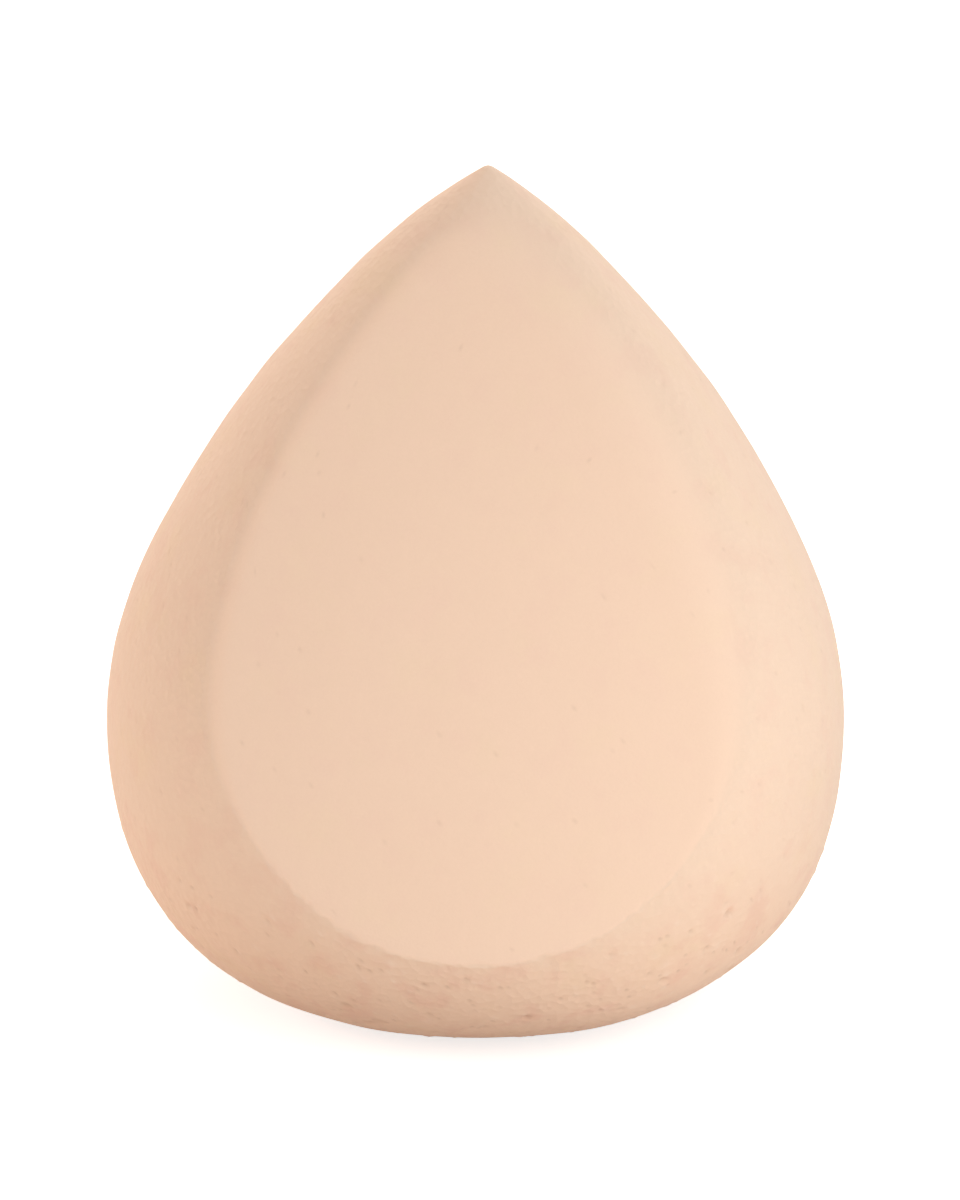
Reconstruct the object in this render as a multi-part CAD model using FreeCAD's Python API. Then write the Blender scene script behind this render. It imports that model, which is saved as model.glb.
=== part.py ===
"""Teardrop makeup sponge with one flat cut face.

Its pieces are the foam core, the moulded skin in three zones, the layer of cut cells and the tip.
The sponge stands on its base with its tip up. +Z is up, the cut face looks to -Y and leans back at its top,
and the origin is the middle of the small flat that it stands on. Lengths are millimetres, angles are degrees.
"""

import FreeCAD
import Part

import math
import os

from FreeCAD import Vector

# The teardrop, as a body of revolution about +Z.
height = 60.0
width = 52.0
widest_height = 19.7
base_flat_radius = 6.2
tip_radius = 0.8
tip_half_angle = 57.0

# How full the outline's two curves are. Each share is of the rise or run that its handle follows.
base_run_share = 0.66
base_rise_share = 0.65
flank_rise_share = 0.35
tip_run_share = 0.29

# The flat cut. Its plane leans back from upright, and crosses the axis above the tip.
cut_lean_angle = 23.5
cut_above_tip = 5.9

# The layers. The gap keeps the core clear of the front skin, which moves over it.
skin_thickness = 0.8
face_thickness = 2.5
skin_gap = 0.3

# The press. Depths are measured square to the cut face, and the front zone stops short of the back one.
front_depth = 6.0
press_travel = 8.0
press_stop_gap = 0.3

# The tip. It bends on a neck of plain foam, so the front zone ends below the neck.
tip_seat_height = 48.0
neck_height = 3.5

# How far the blocks that divide the sponge reach past it.
overrun = 5.0


def curve(*poles):
    """One smooth edge from the first pole to the last, drawn towards the handles between them."""
    shape = Part.BezierCurve()
    shape.setPoles(list(poles))
    return shape.toShape()


def heading(angle):
    """The direction at this angle, in radians, above level in the outline's plane."""
    return Vector(math.cos(angle), 0, math.sin(angle))


def teardrop(inset):
    """The solid teardrop, drawn in by the inset from the moulded outside."""
    slope = math.radians(tip_half_angle)
    floor = inset
    top = height - inset / math.sin(slope)
    radius = width / 2 - inset
    fall = widest_height - floor
    rise = top - widest_height

    middle = Vector(0, 0, floor)
    foot = Vector(base_flat_radius, 0, floor)
    waist = Vector(radius, 0, widest_height)
    tip = Vector(0, 0, top)
    tip_centre = tip - Vector(0, 0, tip_radius)
    shoulder = tip_centre + heading(slope) * tip_radius
    crown = tip_centre + heading((slope + math.pi / 2) / 2) * tip_radius

    foot_handle = foot + Vector(base_run_share * (radius - base_flat_radius), 0, 0)
    low_handle = waist - Vector(0, 0, base_rise_share * fall)
    high_handle = waist + Vector(0, 0, flank_rise_share * rise)
    tip_handle = shoulder + heading(slope - math.pi / 2) * (tip_run_share * rise)

    outline = Part.Wire([
        Part.makeLine(middle, foot),
        curve(foot, foot_handle, low_handle, waist),
        curve(waist, high_handle, tip_handle, shoulder),
        Part.Arc(shoulder, crown, tip).toShape(),
        Part.makeLine(tip, middle),
    ])
    return Part.Face(outline).revolve(Vector(0, 0, 0), Vector(0, 0, 1), 360)


def block(front, back):
    """Everything between two depths behind the plane of the flat cut."""
    reach = height + cut_above_tip + overrun
    shape = Part.makeBox(2 * reach, back - front, 2 * reach, Vector(-reach, front, -reach))
    shape.rotate(Vector(0, 0, 0), Vector(1, 0, 0), -cut_lean_angle)
    shape.translate(Vector(0, 0, height + cut_above_tip))
    return shape


def below(level):
    """Everything under a level plane."""
    reach = width + overrun
    return Part.makeBox(2 * reach, 2 * reach, level + overrun, Vector(-reach, -reach, -overrun))


def behind_cut():
    """Everything behind the plane of the flat cut."""
    return block(0, width + height)


def front_zone(front, back):
    """The part of a layer behind the cut that moves with the flat face."""
    return block(front, back).common(below(tip_seat_height - neck_height))


def back_zone():
    """What stays still: behind the press and, at its top, clear of the tip when the face is pressed."""
    drop = press_travel * math.sin(math.radians(cut_lean_angle))
    room = front_depth + press_travel + press_stop_gap
    return block(room, width + height).common(below(tip_seat_height - neck_height - drop))


def moulded_skin():
    """The whole moulded skin under the tip."""
    shell = teardrop(0).cut(teardrop(skin_thickness))
    return shell.common(behind_cut()).common(below(tip_seat_height))


def flat_face():
    """The layer of open cells that the knife left, inside the skin's rim."""
    return teardrop(skin_thickness).common(front_zone(0, face_thickness))


def front_skin():
    """The skin round the flat face, which moves with it."""
    return moulded_skin().common(front_zone(0, front_depth))


def back_skin():
    """The skin of the back and the base, which the fingers hold and the sponge stands on."""
    return moulded_skin().common(back_zone())


def flex_skin():
    """The skin between front, back and tip, which folds when one of them moves."""
    return moulded_skin().cut(front_zone(0, front_depth)).cut(back_zone())


def foam_core():
    """The foam inside. It is slimmer behind the face, to clear the front skin."""
    whole = teardrop(skin_thickness).common(behind_cut()).common(below(tip_seat_height))
    slim_end = teardrop(skin_thickness + skin_gap).common(front_zone(face_thickness, front_depth))
    return whole.cut(front_zone(0, front_depth)).fuse(slim_end).removeSplitter()


def tip():
    """The soft point, skin and foam in one."""
    return teardrop(0).common(behind_cut()).cut(below(tip_seat_height))


pieces = {
    "flat_face": flat_face(),
    "front_skin": front_skin(),
    "back_skin": back_skin(),
    "flex_skin": flex_skin(),
    "foam_core": foam_core(),
    "tip": tip(),
}

os.makedirs("parts", exist_ok=True)
for name, shape in pieces.items():
    if len(shape.Solids) != 1 or not shape.isValid():
        raise ValueError(f"{name} is not one sound solid")
    shape.Solids[0].exportStep(f"parts/{name}.step")
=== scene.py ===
"""Looks of a teardrop makeup sponge with one flat cut face.

The foam is shaped once as a whole, so that its surface runs on unbroken, and is then parted into the
moulded body, the cut face and the soft tip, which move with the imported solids. Lengths are metres and
angles radians. +Z is up, the cut face looks to -Y, and the origin is the middle of the flat that the
sponge stands on.
"""

import logging
import math
import random
from bisect import bisect_left
from dataclasses import dataclass, field
from enum import Enum
from itertools import pairwise

import bmesh
import bpy
from bmesh.types import BMEdge, BMesh, BMFace, BMVert
from mathutils import Matrix, Vector, noise
from mathutils.geometry import interpolate_bezier
from mathutils.kdtree import KDTree
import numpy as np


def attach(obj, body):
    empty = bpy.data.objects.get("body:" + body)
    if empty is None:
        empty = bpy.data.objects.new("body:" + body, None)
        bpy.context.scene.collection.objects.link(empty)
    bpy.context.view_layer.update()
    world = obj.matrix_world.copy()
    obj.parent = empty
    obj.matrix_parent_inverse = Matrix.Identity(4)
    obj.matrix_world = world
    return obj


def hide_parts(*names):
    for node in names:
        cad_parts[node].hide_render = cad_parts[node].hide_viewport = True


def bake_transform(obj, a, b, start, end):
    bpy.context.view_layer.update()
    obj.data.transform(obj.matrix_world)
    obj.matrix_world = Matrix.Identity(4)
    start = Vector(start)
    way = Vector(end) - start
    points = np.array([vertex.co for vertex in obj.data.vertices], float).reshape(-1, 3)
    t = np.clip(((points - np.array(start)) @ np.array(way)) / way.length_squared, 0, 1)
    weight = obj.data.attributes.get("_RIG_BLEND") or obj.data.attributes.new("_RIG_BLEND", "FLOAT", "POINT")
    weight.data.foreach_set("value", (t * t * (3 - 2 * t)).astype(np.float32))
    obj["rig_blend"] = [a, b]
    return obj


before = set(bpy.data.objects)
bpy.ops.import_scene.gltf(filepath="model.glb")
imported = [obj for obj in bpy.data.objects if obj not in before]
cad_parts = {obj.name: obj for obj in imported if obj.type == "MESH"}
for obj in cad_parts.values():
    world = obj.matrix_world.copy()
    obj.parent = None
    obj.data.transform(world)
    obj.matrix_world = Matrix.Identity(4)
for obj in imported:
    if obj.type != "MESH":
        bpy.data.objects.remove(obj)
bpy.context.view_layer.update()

log = logging.getLogger("sponge")

Colour = tuple[float, float, float, float]
Socket = bpy.types.NodeSocket

UP = Vector((0.0, 0.0, 1.0))
SMALLEST_STEP = 1e-12

# The curve of an sRGB screen: a straight toe, then a power.
SCREEN_TOP = 255
TOE_END = 0.04045
TOE_SLOPE = 12.92
CURVE_OFFSET = 0.055
CURVE_POWER = 2.4


def paint(red: int, green: int, blue: int) -> Colour:
    """Turns a screen colour into the linear colour that a shader takes.

    Args:
        red: Red from 0 to 255.
        green: Green from 0 to 255.
        blue: Blue from 0 to 255.

    Returns:
        The linear colour, opaque.
    """

    def linear(level: int) -> float:
        """Undoes the screen's curve.

        Args:
            level: One channel, from 0 to 255.

        Returns:
            Its linear share.
        """
        share = level / SCREEN_TOP
        if share <= TOE_END:
            return share / TOE_SLOPE
        return ((share + CURVE_OFFSET) / (1 + CURVE_OFFSET)) ** CURVE_POWER

    return linear(red), linear(green), linear(blue), 1.0


def ease(low: float, high: float, value: float) -> float:
    """Eases from 0 to 1 as a value goes from low to high.

    Args:
        low: The value up to which the result is 0.
        high: The value from which the result is 1.
        value: The value to place between them.

    Returns:
        The eased share.
    """
    share = min(1.0, max(0.0, (value - low) / (high - low)))
    return share * share * (3 - 2 * share)


@dataclass(frozen=True)
class Teardrop:
    """The moulded outside: one outline turned about the upright axis."""

    height: float = 0.060
    width: float = 0.052
    widest_height: float = 0.0197
    base_flat_radius: float = 0.0062
    tip_radius: float = 0.0008
    tip_half_angle: float = math.radians(57.0)
    base_run_share: float = 0.66
    base_rise_share: float = 0.65
    flank_rise_share: float = 0.35
    tip_run_share: float = 0.29
    curve_steps: int = 400
    tip_steps: int = 12

    def outline(self) -> list[Vector]:
        """Draws the outline as points of radius and height.

        Returns:
            The points, from the middle of the base to the tip.
        """
        slope = self.tip_half_angle
        rise = self.height - self.widest_height
        foot = Vector((self.base_flat_radius, 0.0))
        waist = Vector((self.width / 2, self.widest_height))
        crown = Vector((0.0, self.height - self.tip_radius))
        shoulder = crown + Vector((math.cos(slope), math.sin(slope))) * self.tip_radius

        foot_handle = foot + Vector((self.base_run_share * (waist.x - foot.x), 0.0))
        low_handle = waist - Vector((0.0, self.base_rise_share * waist.y))
        high_handle = waist + Vector((0.0, self.flank_rise_share * rise))
        tip_handle = shoulder + Vector((math.sin(slope), -math.cos(slope))) * self.tip_run_share * rise

        low = interpolate_bezier(foot, foot_handle, low_handle, waist, self.curve_steps)
        high = interpolate_bezier(waist, high_handle, tip_handle, shoulder, self.curve_steps)
        bend = math.pi / 2 - slope
        turns = [slope + bend * step / self.tip_steps for step in range(1, self.tip_steps + 1)]
        cap = [crown + Vector((math.cos(turn), math.sin(turn))) * self.tip_radius for turn in turns]
        return [Vector((0.0, 0.0)), *low, *high[1:], *cap]


class Meridian:
    """The outline, looked up by how much of the whole surface lies below."""

    def __init__(self, shape: Teardrop) -> None:
        """Measures the surface below each point of the outline.

        Args:
            shape: The teardrop whose outline it is.
        """
        self.points = shape.outline()
        areas = [0.0]
        for low, high in pairwise(self.points):
            areas.append(areas[-1] + (low.x + high.x) * (high - low).length)
        self.shares = [area / areas[-1] for area in areas]

    def at(self, share: float) -> Vector:
        """Finds the point with this share of the surface below it.

        Args:
            share: The share, from 0 at the base to 1 at the tip.

        Returns:
            The point's radius and height.
        """
        after = bisect_left(self.shares, share, 1, len(self.shares) - 1)
        low, high = self.shares[after - 1], self.shares[after]
        part = (share - low) / max(high - low, SMALLEST_STEP)
        return self.points[after - 1].lerp(self.points[after], part)

    def radius(self, height: float) -> float:
        """Finds the radius at a height above the flat base.

        Args:
            height: The height above the base.

        Returns:
            The radius there.
        """
        rising = (pair for pair in pairwise(self.points) if pair[1].y > 0)
        low, high = next(pair for pair in rising if pair[0].y <= height <= pair[1].y)
        return low.lerp(high, (height - low.y) / max(high.y - low.y, SMALLEST_STEP)).x


@dataclass(frozen=True)
class FlatCut:
    """The knife's plane, and how round its edge is from place to place."""

    lean: float = math.radians(23.5)
    crossing_height: float = 0.0659
    crisp_round: float = 0.0002
    left_round: float = 0.0011
    right_round: float = 0.0036
    crisp_height: float = 0.015
    left_height: float = 0.027
    right_height: float = 0.040
    top_low: float = 0.049
    top_high: float = 0.056
    top_left: float = -0.002
    top_right: float = 0.004
    left_side: float = -0.006
    right_side: float = 0.012
    support: float = 0.00014
    crown_share: float = 0.08
    edge_drop_share: float = 0.25

    @property
    def outward(self) -> Vector:
        """The direction that the cut face looks to."""
        return Vector((0.0, -math.cos(self.lean), math.sin(self.lean)))

    @property
    def crossing(self) -> Vector:
        """Where the plane crosses the upright axis."""
        return UP * self.crossing_height

    def depth(self, point: Vector) -> float:
        """How far a point lies behind the plane."""
        return (self.crossing - point).dot(self.outward)

    def roundness(self, point: Vector) -> float:
        """How far the edge's rounding reaches: little below, more on the left, most on the upper right.

        Args:
            point: A point near the edge.

        Returns:
            The reach of the rounding, measured square to the plane.
        """
        right = ease(self.left_side, self.right_side, point.x)
        right *= ease(self.crisp_height, self.right_height, point.z)
        left = ease(self.crisp_height, self.left_height, point.z)
        reach = self.crisp_round + (self.left_round - self.crisp_round) * left
        reach += (self.right_round - self.left_round) * right
        top = ease(self.top_low, self.top_high, point.z) * ease(self.top_left, self.top_right, point.x)
        return reach + (self.right_round - reach) * top

    def settled(self, depth: float, reach: float) -> float:
        """Where a point of the uncut foam ends up: on the plane, behind it, or in the rounding between.

        Args:
            depth: Its depth behind the plane before the cut.
            reach: How far the rounding reaches there.

        Returns:
            Its depth after the cut.
        """
        near = max(reach - abs(depth), 0.0) / reach
        crown = self.crown_share * min(depth, 0.0)
        return max(depth, 0.0) + crown + near * near * reach * self.edge_drop_share


@dataclass(frozen=True)
class Relief:
    """One size of unevenness in the foam's surface."""

    size: float
    height: float

    def at(self, point: Vector) -> float:
        """How far the surface stands out here, or in where it is negative."""
        return self.height * noise.noise(point / self.size)


class Zone(Enum):
    """Where the foam's cells lie, as the mould or the knife left it."""

    UNDERSIDE = "underside"
    FLANK = "flank"
    FACE = "face"


@dataclass(frozen=True)
class Pits:
    """Cells scattered over one zone: burst, with painted shade in their pits, or raised, with a painted
    highlight, where depth and shade are negative.
    """

    zone: Zone
    count: int
    small: float
    large: float
    depth_share: float
    shade: float


class Piece(Enum):
    """The pieces that the shaped foam is parted into."""

    BODY = "sponge_body"
    FACE = "cut_face"
    TIP = "sponge_tip"


@dataclass(frozen=True)
class Blotches:
    """Soft patches of another colour: their size, where their noise starts and is full, and its detail."""

    size: float
    low: float
    high: float
    detail: float


@dataclass(frozen=True)
class Finish:
    """One look of the foam: its colour and its blotches."""

    colour: Colour
    rosy: Colour
    ochre: Colour
    rosy_share: float
    ochre_share: float


MOULDED = Finish(
    colour=paint(239, 203, 176),
    rosy=paint(236, 192, 168),
    ochre=paint(238, 204, 167),
    rosy_share=0.30,
    ochre_share=0.30,
)
# Painted shade: a rosier, darker-blotched copy of the moulded finish, laid on where the foam faces down.
SHADED_UNDERSIDE = Finish(
    colour=paint(242, 202, 173),
    rosy=paint(234, 181, 156),
    ochre=paint(237, 200, 163),
    rosy_share=0.45,
    ochre_share=0.35,
)
CUT = Finish(
    colour=paint(247, 208, 180),
    rosy=paint(245, 203, 178),
    ochre=paint(246, 211, 177),
    rosy_share=0.30,
    ochre_share=0.30,
)


class Nodes:
    """A hand for wiring one material, or the sky."""

    def __init__(self, owner: bpy.types.Material | bpy.types.World) -> None:
        """Empties the owner's nodes, so that only what is wired here is in it.

        Args:
            owner: The material or the world to wire.
        """
        owner.use_nodes = True
        self.tree = owner.node_tree
        self.tree.nodes.clear()

    def add(
        self, kind: str, inputs: dict[str | int, object] | None = None, **settings: object
    ) -> bpy.types.Node:
        """Adds a node.

        Args:
            kind: The node's type.
            inputs: Values, or sockets to link from, by the name of the input that takes them.
            settings: The node's own settings.

        Returns:
            The node.
        """
        node = self.tree.nodes.new(kind)
        for name, value in settings.items():
            setattr(node, name, value)
        for name, value in (inputs or {}).items():
            self.feed(node.inputs[name], value)
        return node

    def feed(self, socket: Socket, value: object) -> None:
        """Sets an input to a value, or links it from another socket.

        Args:
            socket: The input.
            value: The value, or the socket to link from.
        """
        if isinstance(value, bpy.types.NodeSocket):
            self.tree.links.new(value, socket)
        else:
            socket.default_value = value

    def mix(self, share: object, first: object, second: object, blend: str = "MIX") -> Socket:
        """Mixes two colours.

        Args:
            share: How much of the second colour there is.
            first: The first colour.
            second: The second colour.
            blend: How the second goes over the first.

        Returns:
            The mixed colour.
        """
        node = self.tree.nodes.new("ShaderNodeMix")
        node.data_type = "RGBA"
        node.blend_type = blend
        self.feed(node.inputs["Factor"], share)
        inputs = {socket.identifier: socket for socket in node.inputs}
        self.feed(inputs["A_Color"], first)
        self.feed(inputs["B_Color"], second)
        return next(socket for socket in node.outputs if socket.identifier == "Result_Color")

    def combine(self, operation: str, *terms: object) -> Socket:
        """Works out a number from others.

        Args:
            operation: What to do with them.
            terms: Numbers, or sockets to link from, in order.

        Returns:
            The result.
        """
        node = self.tree.nodes.new("ShaderNodeMath")
        node.operation = operation
        for socket, term in zip(node.inputs, terms):
            self.feed(socket, term)
        return node.outputs["Value"]

    def patches(self, place: Socket, blotches: Blotches) -> Socket:
        """Scatters soft patches through the foam.

        Args:
            place: The coordinates to read.
            blotches: The patches.

        Returns:
            A share, 1 inside a patch.
        """
        settings = {"Vector": place, "Scale": 1 / blotches.size, "Detail": blotches.detail}
        cloud = self.add("ShaderNodeTexNoise", settings).outputs["Fac"]
        limits = {"Value": cloud, "From Min": blotches.low, "From Max": blotches.high}
        return self.add("ShaderNodeMapRange", limits, interpolation_type="SMOOTHSTEP").outputs["Result"]


@dataclass
class Foam:
    """The material of the whole sponge, moulded outside and cut on its face."""

    moulded: Finish = MOULDED
    shaded_underside: Finish = SHADED_UNDERSIDE
    cut: Finish = CUT
    rosy: Blotches = Blotches(size=0.0026, low=0.48, high=0.72, detail=3.0)
    ochre: Blotches = Blotches(size=0.0045, low=0.50, high=0.75, detail=4.0)
    cell_size: float = 0.0006
    fine_size: float = 0.00018
    fine_detail: float = 2.0
    skin_grain_height: float = 0.00006
    cut_grain_height: float = 0.00002
    # Painted shade: the dark colour laid into the pits, which the fine mottle of the cells also darkens
    # towards.
    pit_shade_and_mottle_colour: Colour = paint(176, 128, 98)
    pit_shade_share: float = 0.40
    # Painted highlight: the paler colour laid on the raised cells.
    fleck_highlight_colour: Colour = paint(250, 224, 204)
    fleck_highlight_share: float = 0.45
    cell_shade: float = 0.05
    roughness: float = 0.92
    specular: float = 0.18
    sheen: float = 0.10
    sheen_roughness: float = 0.6

    def tint(self, nodes: Nodes, place: Socket, finish: Finish) -> Socket:
        """Wires the colour of one finish.

        Args:
            nodes: The material's nodes.
            place: The coordinates to read.
            finish: The finish.

        Returns:
            Its colour, with its blotches.
        """
        rosy = nodes.patches(place, self.rosy)
        ochre = nodes.patches(place, self.ochre)
        first = nodes.mix(nodes.combine("MULTIPLY", ochre, finish.ochre_share), finish.colour, finish.ochre)
        return nodes.mix(nodes.combine("MULTIPLY", rosy, finish.rosy_share), first, finish.rosy)

    def build(self) -> bpy.types.Material:
        """Makes the material.

        Returns:
            The material, which reads each piece's cut share, its underside share for the painted shade
            there, and its pits.
        """
        material = bpy.data.materials.new("soft_foam")
        nodes = Nodes(material)
        place = nodes.add("ShaderNodeTexCoord").outputs["Object"]
        cut_share, underside, pit_shade_and_highlight = (
            nodes.add("ShaderNodeAttribute", attribute_name=name).outputs["Fac"]
            for name in (Sponge.CUT_SHARE, Sponge.UNDERSIDE, Sponge.PIT_SHADE_AND_HIGHLIGHT)
        )
        coarse = {"Vector": place, "Scale": 1 / self.cell_size}
        cells = nodes.add("ShaderNodeTexVoronoi", coarse).outputs["Distance"]
        close = {"Vector": place, "Scale": 1 / self.fine_size, "Detail": self.fine_detail}
        fine = nodes.add("ShaderNodeTexNoise", close).outputs["Fac"]

        moulded = self.tint(nodes, place, self.moulded)
        # Painted shade: the skin turns to the darker underside finish as it faces down.
        skin = nodes.mix(underside, moulded, self.tint(nodes, place, self.shaded_underside))
        colour = nodes.mix(cut_share, skin, self.tint(nodes, place, self.cut))
        shade = nodes.combine("MULTIPLY", nodes.combine("SUBTRACT", 1.0, fine), self.cell_shade)
        colour = nodes.mix(shade, colour, self.pit_shade_and_mottle_colour, "MULTIPLY")
        # Painted shade in the pits.
        burst = nodes.combine("MULTIPLY", nodes.combine("MAXIMUM", pit_shade_and_highlight, 0.0), self.pit_shade_share)
        colour = nodes.mix(burst, colour, self.pit_shade_and_mottle_colour)
        # Painted highlight on the raised cells.
        raised = nodes.combine("MAXIMUM", nodes.combine("MULTIPLY", pit_shade_and_highlight, -self.fleck_highlight_share), 0.0)
        colour = nodes.mix(raised, colour, self.fleck_highlight_colour)

        skin_grain = nodes.combine("MULTIPLY", cells, self.skin_grain_height)
        cut_grain = nodes.combine("MULTIPLY", fine, self.cut_grain_height)
        extra = nodes.combine("MULTIPLY", nodes.combine("SUBTRACT", cut_grain, skin_grain), cut_share)
        grain = nodes.combine("ADD", skin_grain, extra)
        bump = nodes.add("ShaderNodeBump", {"Height": grain, "Distance": 1.0, "Strength": 1.0})

        values = {
            "Base Color": colour,
            "Normal": bump.outputs["Normal"],
            "Roughness": self.roughness,
            "Specular IOR Level": self.specular,
            "Sheen Weight": self.sheen,
            "Sheen Roughness": self.sheen_roughness,
        }
        shader = nodes.add("ShaderNodeBsdfPrincipled", values)
        nodes.add("ShaderNodeOutputMaterial", {"Surface": shader.outputs["BSDF"]})
        return material


@dataclass
class Sponge:
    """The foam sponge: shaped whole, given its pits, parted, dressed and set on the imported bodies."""

    CUT_SHARE = "cut_share"
    UNDERSIDE = "underside"
    PIT_SHADE_AND_HIGHLIGHT = "pit_shade_and_highlight"
    WHOLE_NORMAL = "whole_normal"
    UNCUT_DEPTH = "uncut_depth"
    PIECE = "piece"

    shape: Teardrop = field(default_factory=Teardrop)
    cut: FlatCut = field(default_factory=FlatCut)
    foam: Foam = field(default_factory=Foam)
    swell: Relief = Relief(size=0.011, height=0.00016)
    dimple: Relief = Relief(size=0.0035, height=0.00004)
    face_wave: Relief = Relief(size=0.008, height=0.00006)
    face_wave_inset: float = 0.0015
    nick: Relief = Relief(size=0.0011, height=0.00030)
    nick_reach: float = 0.0008
    pits: tuple[Pits, ...] = (
        # A shade above 0 is painted shade in the pits; below 0 it is a painted highlight on raised cells.
        Pits(Zone.UNDERSIDE, count=520, small=0.00018, large=0.00052, depth_share=0.40, shade=0.75),
        Pits(Zone.UNDERSIDE, count=460, small=0.00024, large=0.00052, depth_share=-0.14, shade=-0.6),
        Pits(Zone.FLANK, count=360, small=0.00018, large=0.00034, depth_share=0.25, shade=0.30),
        Pits(Zone.FACE, count=36, small=0.00018, large=0.00028, depth_share=0.20, shade=0.40),
    )
    pit_seed: int = 11
    pit_inset: float = 0.0006
    pit_size_bias: int = 3
    faintest_pit: float = 0.4
    base_inset: float = 0.0004
    underside_tilt: float = -0.25
    # How far down a point faces where the underside's painted shade starts and where it is full.
    underside_start: float = 0.0
    underside_full: float = -0.55
    grid: int = 140
    quick_grid: int = 80
    tip_seat_height: float = 0.048
    neck_height: float = 0.0035
    neck_bend_height: float = 0.0085
    face_thickness: float = 0.0025
    inside_gap: float = 0.0004
    inside_draw: float = 0.0012
    fill: float = 0.9

    @property
    def seam_height(self) -> float:
        """Where the tip's neck starts to bend."""
        return self.tip_seat_height - self.neck_height

    def ball(self) -> BMesh:
        """Starts from a cube divided into even squares, drawn out to a ball of radius 1.

        Returns:
            The ball.
        """
        mesh = bmesh.new()
        bmesh.ops.create_cube(mesh, size=2.0)
        cuts = self.grid - 1
        bmesh.ops.subdivide_edges(mesh, edges=mesh.edges[:], cuts=cuts, use_grid_fill=True)
        for vert in mesh.verts:
            vert.co = Vector(math.tan(part * math.pi / 4) for part in vert.co).normalized()
        return mesh

    def whole(self) -> BMesh:
        """Shapes the whole sponge.

        Returns:
            The closed mesh, with its cut share, pits and normals in its layers.
        """
        mesh = self.ball()
        self.draw_out(mesh)
        self.roughen(mesh)
        self.slice_face(mesh)
        self.part_neck(mesh)
        self.mark_pieces(mesh)
        self.nick_edge(mesh)
        self.burst_cells(mesh)
        self.keep_normals(mesh)
        return mesh

    def draw_out(self, mesh: BMesh) -> None:
        """Draws the ball out to the teardrop, so that each square keeps its share of the surface.

        Args:
            mesh: The whole sponge.
        """
        meridian = Meridian(self.shape)
        for vert in mesh.verts:
            point = meridian.at((1 + vert.co.z) / 2)
            level = Vector((vert.co.x, vert.co.y, 0.0))
            vert.co = level.normalized() * point.x + UP * point.y

    def roughen(self, mesh: BMesh) -> None:
        """Gives the moulded foam its slight unevenness, except where it stands flat.

        Args:
            mesh: The whole sponge.
        """
        mesh.normal_update()
        for vert in mesh.verts:
            lift = self.swell.at(vert.co) + self.dimple.at(vert.co) - self.swell.height
            vert.co += vert.normal * lift * ease(0.0, self.base_inset, vert.co.z)

    def slice_face(self, mesh: BMesh) -> None:
        """Lays everything in front of the knife's plane flat on it, with the edge rounded as in life.

        Args:
            mesh: The whole sponge.
        """
        for offset in (-self.cut.support, 0.0, self.cut.support):
            place = self.cut.crossing + self.cut.outward * offset
            parts = self.everything(mesh)
            bmesh.ops.bisect_plane(mesh, geom=parts, plane_co=place, plane_no=self.cut.outward)
        uncut = mesh.verts.layers.float.new(self.UNCUT_DEPTH)
        cut_share = mesh.verts.layers.float.new(self.CUT_SHARE)
        for vert in mesh.verts:
            depth = self.cut.depth(vert.co)
            reach = self.cut.roundness(vert.co)
            vert[uncut] = depth
            vert[cut_share] = 1 - ease(-reach / 2, reach / 2, depth)
            wave = self.face_wave.at(vert.co) * ease(0.0, self.face_wave_inset, -depth)
            vert.co -= self.cut.outward * (self.cut.settled(depth, reach) - depth + wave)

    def part_neck(self, mesh: BMesh) -> None:
        """Runs one level line of edges round the neck, where the tip is parted from the rest."""
        parts = self.everything(mesh)
        bmesh.ops.bisect_plane(mesh, geom=parts, plane_co=UP * self.seam_height, plane_no=UP)

    def mark_pieces(self, mesh: BMesh) -> None:
        """Marks on each face of the whole sponge which piece it goes to.

        Args:
            mesh: The whole sponge.
        """
        uncut = mesh.verts.layers.float[self.UNCUT_DEPTH]
        mark = mesh.faces.layers.int.new(self.PIECE)
        for face in mesh.faces:
            if face.calc_center_median().z > self.seam_height:
                piece = Piece.TIP
            else:
                piece = Piece.FACE if sum(vert[uncut] for vert in face.verts) < 0 else Piece.BODY
            face[mark] = list(Piece).index(piece)

    def nick_edge(self, mesh: BMesh) -> None:
        """Leaves small nicks along the knife's crisp lower edge.

        Args:
            mesh: The whole sponge.
        """
        uncut = mesh.verts.layers.float[self.UNCUT_DEPTH]
        cut_off = [vert.co for vert in mesh.verts if vert[uncut] < 0]
        middle = sum(cut_off, Vector()) / len(cut_off)
        for vert in mesh.verts:
            near = max(0.0, 1 - abs(vert[uncut]) / self.nick_reach)
            low = 1 - ease(self.cut.crisp_height, self.cut.left_height, vert.co.z)
            inward = middle - vert.co
            inward -= self.cut.outward * inward.dot(self.cut.outward)
            vert.co += inward.normalized() * near * low * abs(self.nick.at(vert.co))

    def burst_cells(self, mesh: BMesh) -> None:
        """Sinks the pits of burst cells into the surface and raises other cells, with painted shade in the
        pits and a painted highlight on the raised cells, the same at every run.

        Args:
            mesh: The whole sponge.
        """
        pit_shade_and_highlight_layer = mesh.verts.layers.float.new(self.PIT_SHADE_AND_HIGHLIGHT)
        uncut = mesh.verts.layers.float[self.UNCUT_DEPTH]
        mesh.normal_update()
        mesh.verts.ensure_lookup_table()
        tree = KDTree(len(mesh.verts))
        zones: dict[Zone, list[BMVert]] = {zone: [] for zone in Zone}
        for index, vert in enumerate(mesh.verts):
            tree.insert(vert.co, index)
            if abs(vert[uncut]) > self.pit_inset and vert.co.z > self.base_inset:
                zones[self.zone_of(vert, vert[uncut])].append(vert)
        tree.balance()

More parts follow.
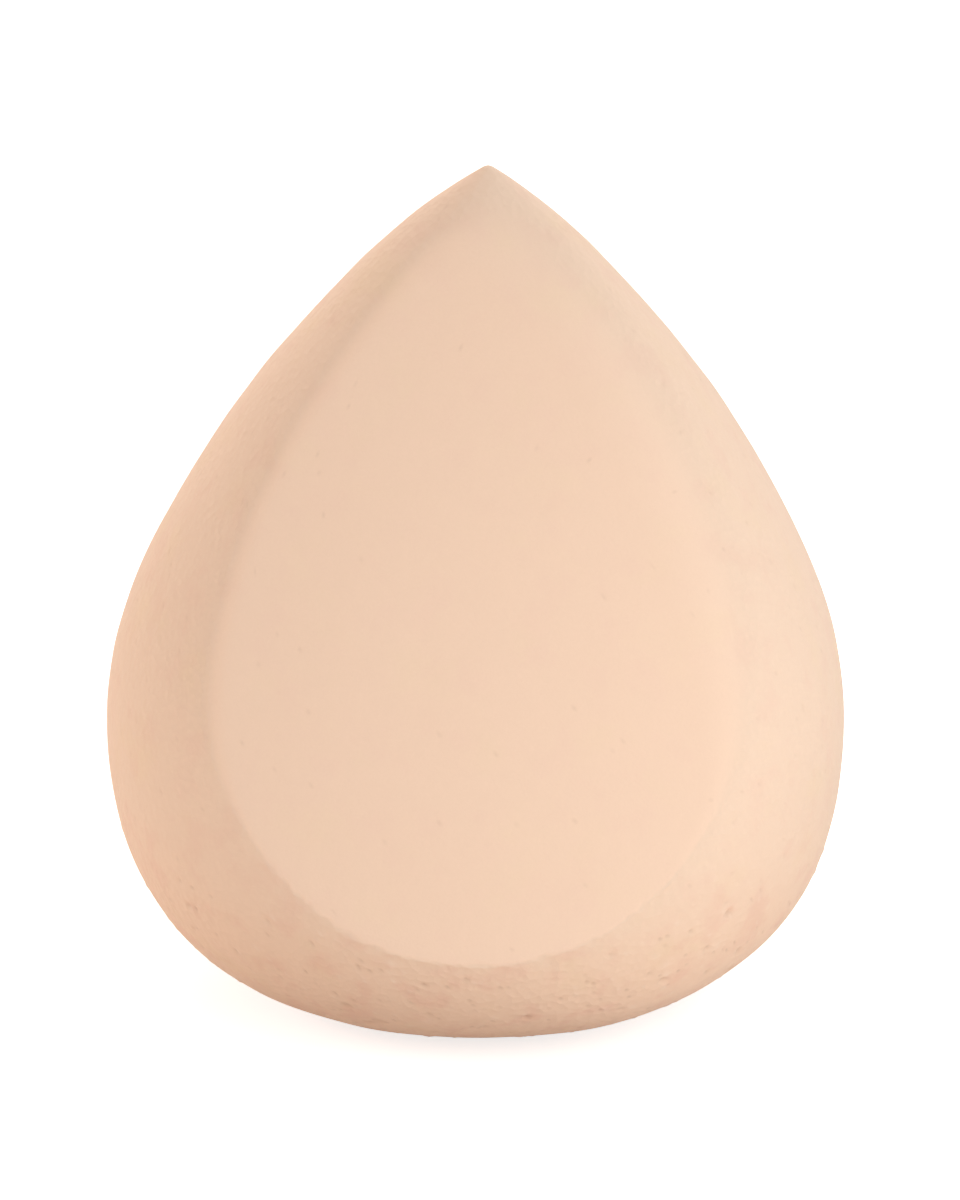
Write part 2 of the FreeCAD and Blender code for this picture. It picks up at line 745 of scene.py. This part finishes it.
        chance = random.Random(self.pit_seed)
        sinks = [0.0] * len(mesh.verts)
        for pits in self.pits:
            for middle in chance.choices(zones[pits.zone], k=pits.count):
                radius = pits.small + (pits.large - pits.small) * chance.random() ** self.pit_size_bias
                shade = pits.shade * chance.uniform(self.faintest_pit, 1.0)
                for _, index, distance in tree.find_range(middle.co, radius):
                    bowl = (1 - (distance / radius) ** 2) ** 2
                    sinks[index] = max(sinks[index], bowl * radius * pits.depth_share, key=abs)
                    vert = mesh.verts[index]
                    # Keeps the painted shade of the pits, or the painted highlight of raised cells where
                    # negative.
                    vert[pit_shade_and_highlight_layer] = max(vert[pit_shade_and_highlight_layer], bowl * shade, key=abs)
        for vert, sink in zip(mesh.verts, sinks):
            vert.co -= vert.normal * sink

    def zone_of(self, vert: BMVert, uncut_depth: float) -> Zone:
        """Tells which zone of the foam a point of its surface is in.

        Args:
            vert: The point.
            uncut_depth: Its depth behind the knife's plane before the cut.

        Returns:
            The zone.
        """
        if uncut_depth < 0:
            return Zone.FACE
        return Zone.UNDERSIDE if vert.normal.z < self.underside_tilt else Zone.FLANK

    def keep_normals(self, mesh: BMesh) -> None:
        """Keeps the normals that the parted pieces go on using along their seams, and marks how far each
        point faces down, for the underside's painted shade.

        Args:
            mesh: The whole sponge.
        """
        layer = mesh.verts.layers.float_vector.new(self.WHOLE_NORMAL)
        underside = mesh.verts.layers.float.new(self.UNDERSIDE)
        mesh.normal_update()
        for vert in mesh.verts:
            vert[layer] = vert.normal
            vert[underside] = 1 - ease(self.underside_full, self.underside_start, vert.normal.z)

    @staticmethod
    def everything(mesh: BMesh) -> list[BMVert | BMEdge | BMFace]:
        """All of a mesh, as the operators take it."""
        return [*mesh.verts, *mesh.edges, *mesh.faces]

    def inward(self, piece: Piece, point: Vector, middle: Vector) -> Vector:
        """How far a piece's open border is drawn in before it is closed, so that pieces meet only at seams.

        Args:
            piece: The piece.
            point: A point of its border.
            middle: The middle of its border.

        Returns:
            The move.
        """
        back = -self.cut.outward
        centred = (middle - point).normalized() * self.inside_draw
        if piece is Piece.TIP:
            return centred + UP * self.inside_gap
        if piece is Piece.FACE:
            return centred + back * self.face_thickness
        if self.cut.depth(point) < self.face_thickness:
            return back * (self.face_thickness + self.inside_gap)
        return centred - UP * self.inside_gap

    def take(self, whole: BMesh, piece: Piece) -> BMesh:
        """Takes one piece out of the whole sponge and closes it inside.

        Args:
            whole: The whole sponge.
            piece: The piece to take.

        Returns:
            The piece's closed mesh.
        """
        mesh = whole.copy()
        mark = mesh.faces.layers.int[self.PIECE]
        others = [face for face in mesh.faces if face[mark] != list(Piece).index(piece)]
        bmesh.ops.delete(mesh, geom=others, context="FACES")
        border = [edge for edge in mesh.edges if edge.is_boundary]
        drawn = bmesh.ops.extrude_edge_only(mesh, edges=border)["geom"]
        normals = mesh.verts.layers.float_vector[self.WHOLE_NORMAL]
        inner = [part for part in drawn if isinstance(part, BMVert)]
        middle = sum((vert.co for vert in inner), Vector()) / len(inner)
        for vert in inner:
            vert.co += self.inward(piece, vert.co, middle)
            vert[normals] = Vector()
        open_edges = [part for part in drawn if isinstance(part, BMEdge) and part.is_boundary]
        lids = bmesh.ops.edgeloop_fill(mesh, edges=open_edges)["faces"]
        bmesh.ops.triangulate(mesh, faces=lids)
        bmesh.ops.recalc_face_normals(mesh, faces=mesh.faces[:])
        for face in mesh.faces:
            face.smooth = True
        return mesh

    def dress(self, mesh: BMesh, piece: Piece, material: bpy.types.Material) -> bpy.types.Object:
        """Makes the finished object of a piece.

        Args:
            mesh: The piece's mesh, which is used up.
            piece: The piece.
            material: Its material.

        Returns:
            The object.
        """
        data = bpy.data.meshes.new(piece.value)
        mesh.to_mesh(data)
        mesh.free()
        kept = data.attributes[self.WHOLE_NORMAL]
        data.normals_split_custom_set_from_vertices([item.vector[:] for item in kept.data])
        for name in (self.WHOLE_NORMAL, self.UNCUT_DEPTH, self.PIECE):
            data.attributes.remove(data.attributes[name])
        data.materials.append(material)
        made = bpy.data.objects.new(piece.value, data)
        bpy.context.scene.collection.objects.link(made)
        log.info("%s: %d faces", piece.value, len(data.polygons))
        return made

    def press_line(self) -> tuple[Vector, Vector]:
        """Where the foam starts to give under a press on the face, and where it follows the face fully.

        Returns:
            The two points, on a line square to the one from the face's foot to the back of the neck.
        """
        meridian = Meridian(self.shape)
        outline = (Vector((0.0, -point.x, point.y)) for point in meridian.points)
        foot = next(point for point in outline if self.cut.depth(point) < 0)
        nape = Vector((0.0, meridian.radius(self.seam_height), self.seam_height))
        along = (nape - foot).normalized()
        across = Vector((0.0, -along.z, along.y))
        start = self.shape.base_flat_radius * -across.y
        end = across.dot(foot) - self.inside_gap
        return across * start, across * end

    def build(self) -> None:
        """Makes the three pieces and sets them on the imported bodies."""
        whole = self.whole()
        material = self.foam.build()
        body, face, tip = (self.dress(self.take(whole, piece), piece, material) for piece in Piece)
        whole.free()

        start, end = self.press_line()
        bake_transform(body, "back", "front", start=start, end=end)
        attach(face, "front")
        neck, bent = UP * self.seam_height, UP * (self.seam_height + self.neck_bend_height)
        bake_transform(tip, "front", "point", start=neck, end=bent)

        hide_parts("front_skin", "back_skin", "flex_skin", "foam_core")
        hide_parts("flat_face")
        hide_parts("tip")


@dataclass(frozen=True)
class Softbox:
    """One soft lamp of the studio."""

    name: str
    place: Vector
    side: float
    watts: float
    colour: tuple[float, float, float]


COOL_WHITE = (0.89, 1.0, 1.07)
WARM_WHITE = (1.03, 0.98, 0.94)


@dataclass
class Studio:
    """The pale floor, the soft lamps and the camera."""

    floor_side: float = 8.0
    floor_colour: Colour = (0.80, 0.76, 0.72, 1.0)
    floor_lift: float = 0.70
    far_floor_lift: float = 0.86
    near_floor: float = 0.15
    far_floor: float = 1.2
    sky_colour: Colour = (1.0, 1.0, 1.0, 1.0)
    sky_light: float = 0.25
    aim: Vector = field(default_factory=lambda: Vector((0.0001, 0.0, 0.0284)))
    distance: float = 0.627
    elevation: float = math.radians(18.3)
    roll: float = math.radians(1.25)
    lens: float = 270.0
    clip_share: float = 0.1
    lamps: tuple[Softbox, ...] = (
        Softbox("key", Vector((0.096, -0.127, 0.070)), side=0.11, watts=0.158, colour=COOL_WHITE),
        Softbox("top_right", Vector((0.260, 0.120, 0.480)), side=0.40, watts=1.02, colour=COOL_WHITE),
        Softbox("left_fill", Vector((-0.450, -0.080, 0.100)), side=0.40, watts=1.46, colour=WARM_WHITE),
        Softbox("left_rim", Vector((-0.350, 0.400, 0.200)), side=0.40, watts=0.20, colour=WARM_WHITE),
        Softbox("back_fill", Vector((0.0, 0.420, 0.420)), side=0.50, watts=1.70, colour=WARM_WHITE),
    )

    def seen(self, nodes: Nodes) -> Socket:
        """Tells what is looked at from what is only lit by it.

        Args:
            nodes: The nodes of the floor or the sky.

        Returns:
            A share that is 1 for what the camera, a reflection or a clear material sees.
        """
        path = nodes.add("ShaderNodeLightPath").outputs
        shiny = nodes.combine("MAXIMUM", path["Is Glossy Ray"], path["Is Transmission Ray"])
        return nodes.combine("MAXIMUM", path["Is Camera Ray"], shiny)

    def lay_floor(self) -> None:
        """Lays the pale floor, which keeps the sponge's shadow."""
        material = bpy.data.materials.new("pale_floor")
        nodes = Nodes(material)
        matte = nodes.add("ShaderNodeBsdfDiffuse", {"Color": self.floor_colour})
        place = nodes.add("ShaderNodeTexCoord").outputs["Object"]
        away = nodes.add("ShaderNodeVectorMath", {0: place}, operation="LENGTH").outputs["Value"]
        limits = {
            "Value": away,
            "From Min": self.near_floor,
            "From Max": self.far_floor,
            "To Min": self.floor_lift,
            "To Max": self.far_floor_lift,
        }
        level = nodes.add("ShaderNodeMapRange", limits).outputs["Result"]
        lift = nodes.combine("MULTIPLY", self.seen(nodes), level)
        glow = nodes.add("ShaderNodeEmission", {"Color": self.sky_colour, "Strength": lift})
        both = nodes.add("ShaderNodeAddShader")
        nodes.feed(both.inputs[0], matte.outputs["BSDF"])
        nodes.feed(both.inputs[1], glow.outputs["Emission"])
        nodes.add("ShaderNodeOutputMaterial", {"Surface": both.outputs["Shader"]})

        mesh = bmesh.new()
        bmesh.ops.create_grid(mesh, x_segments=1, y_segments=1, size=self.floor_side / 2)
        data = bpy.data.meshes.new("floor")
        mesh.to_mesh(data)
        mesh.free()
        data.materials.append(material)
        floor = bpy.data.objects.new("floor", data)
        bpy.context.scene.collection.objects.link(floor)

    def light_sky(self) -> None:
        """Surrounds the sponge with even white light, and shows as plain white."""
        world = bpy.data.worlds.new("white_room")
        bpy.context.scene.world = world
        nodes = Nodes(world)
        extra = nodes.combine("MULTIPLY", self.seen(nodes), 1 - self.sky_light)
        strength = nodes.combine("ADD", extra, self.sky_light)
        sky = nodes.add("ShaderNodeBackground", {"Color": self.sky_colour, "Strength": strength})
        nodes.add("ShaderNodeOutputWorld", {"Surface": sky.outputs["Background"]})

    def hang_lamps(self) -> None:
        """Hangs the soft lamps, each facing the sponge."""
        for lamp in self.lamps:
            data = bpy.data.lights.new(lamp.name, "AREA")
            data.shape = "SQUARE"
            data.size = lamp.side
            data.energy = lamp.watts
            data.color = lamp.colour
            made = bpy.data.objects.new(lamp.name, data)
            made.visible_camera = False
            made.location = lamp.place
            made.rotation_euler = (self.aim - lamp.place).to_track_quat("-Z", "Y").to_euler()
            bpy.context.scene.collection.objects.link(made)

    def set_camera(self) -> None:
        """Sets the camera at the photograph's angle, distance and tilt."""
        data = bpy.data.cameras.new("camera")
        data.lens = self.lens
        data.clip_start = self.distance * self.clip_share
        camera = bpy.data.objects.new("camera", data)
        towards = Vector((0.0, math.cos(self.elevation), -math.sin(self.elevation)))
        camera.location = self.aim - towards * self.distance
        turn = towards.to_track_quat("-Z", "Y").to_matrix().to_4x4()
        camera.rotation_euler = (turn @ Matrix.Rotation(self.roll, 4, "Z")).to_euler()
        bpy.context.scene.collection.objects.link(camera)
        bpy.context.scene.camera = camera

    def build(self) -> None:
        """Sets up the studio."""
        bpy.context.scene.view_settings.view_transform = "Standard"
        self.lay_floor()
        self.light_sky()
        self.hang_lamps()
        self.set_camera()


def main() -> None:
    """Builds the sponge and its studio."""
    logging.basicConfig(level=logging.INFO, format="%(name)s: %(message)s")
    Sponge().build()
    Studio().build()


if __name__ == "__main__":
    main()
